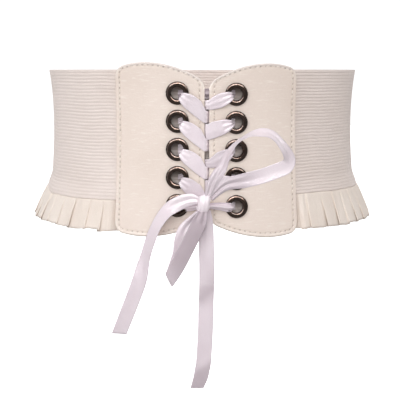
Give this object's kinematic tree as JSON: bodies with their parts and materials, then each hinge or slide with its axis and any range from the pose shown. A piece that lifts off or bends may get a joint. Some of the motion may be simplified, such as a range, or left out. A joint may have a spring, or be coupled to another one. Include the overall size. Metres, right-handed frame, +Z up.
{
  "type": "laced waist belt",
  "caption": "Wide waist belt with a ribbed elastic band, arched faux-leather front panels, eyelets laced with a satin ribbon bow, and a pleated ruffle along its lower edge.",
  "frame": {"origin": "on the axis of the waist, 5 mm below the belt's narrowest level", "axes": "+Z up along the axis of the waist, -Y to the laced front, +X to the viewer's right"},
  "size_m": [0.2896, 0.2118, 0.2628],
  "materials": {
    "elastic": "cream ribbed elastic webbing",
    "ruffle_cloth": "cream pleated cloth",
    "faux_leather": "cream faux leather with a fine grain and edge stitching",
    "eyelet_metal": "dark antique gunmetal, polished",
    "satin_ribbon": "pale lilac satin"
  },
  "bodies": {
    "root": {"elastic_band": "elastic", "lacing_insert": "elastic", "ruffle": "ruffle_cloth", "panel_left": "faux_leather", "panel_right": "faux_leather", "eyelet_left_1": "eyelet_metal", "eyelet_left_2": "eyelet_metal", "eyelet_left_3": "eyelet_metal", "eyelet_left_4": "eyelet_metal", "eyelet_left_5": "eyelet_metal", "eyelet_right_1": "eyelet_metal", "eyelet_right_2": "eyelet_metal", "eyelet_right_3": "eyelet_metal", "eyelet_right_4": "eyelet_metal", "eyelet_right_5": "eyelet_metal", "lace_top_bar": "satin_ribbon", "lace_left_1": "satin_ribbon", "lace_left_2": "satin_ribbon", "lace_left_3": "satin_ribbon", "lace_left_4": "satin_ribbon", "lace_left_5": "satin_ribbon", "lace_right_1": "satin_ribbon", "lace_right_2": "satin_ribbon", "lace_right_3": "satin_ribbon", "lace_right_4": "satin_ribbon", "lace_right_5": "satin_ribbon", "bow_knot": "satin_ribbon", "bow_loop_right": "satin_ribbon", "bow_loop_lower": "satin_ribbon", "bow_tail_left": "satin_ribbon", "bow_tail_centre": "satin_ribbon"}
  },
  "joints": []
}
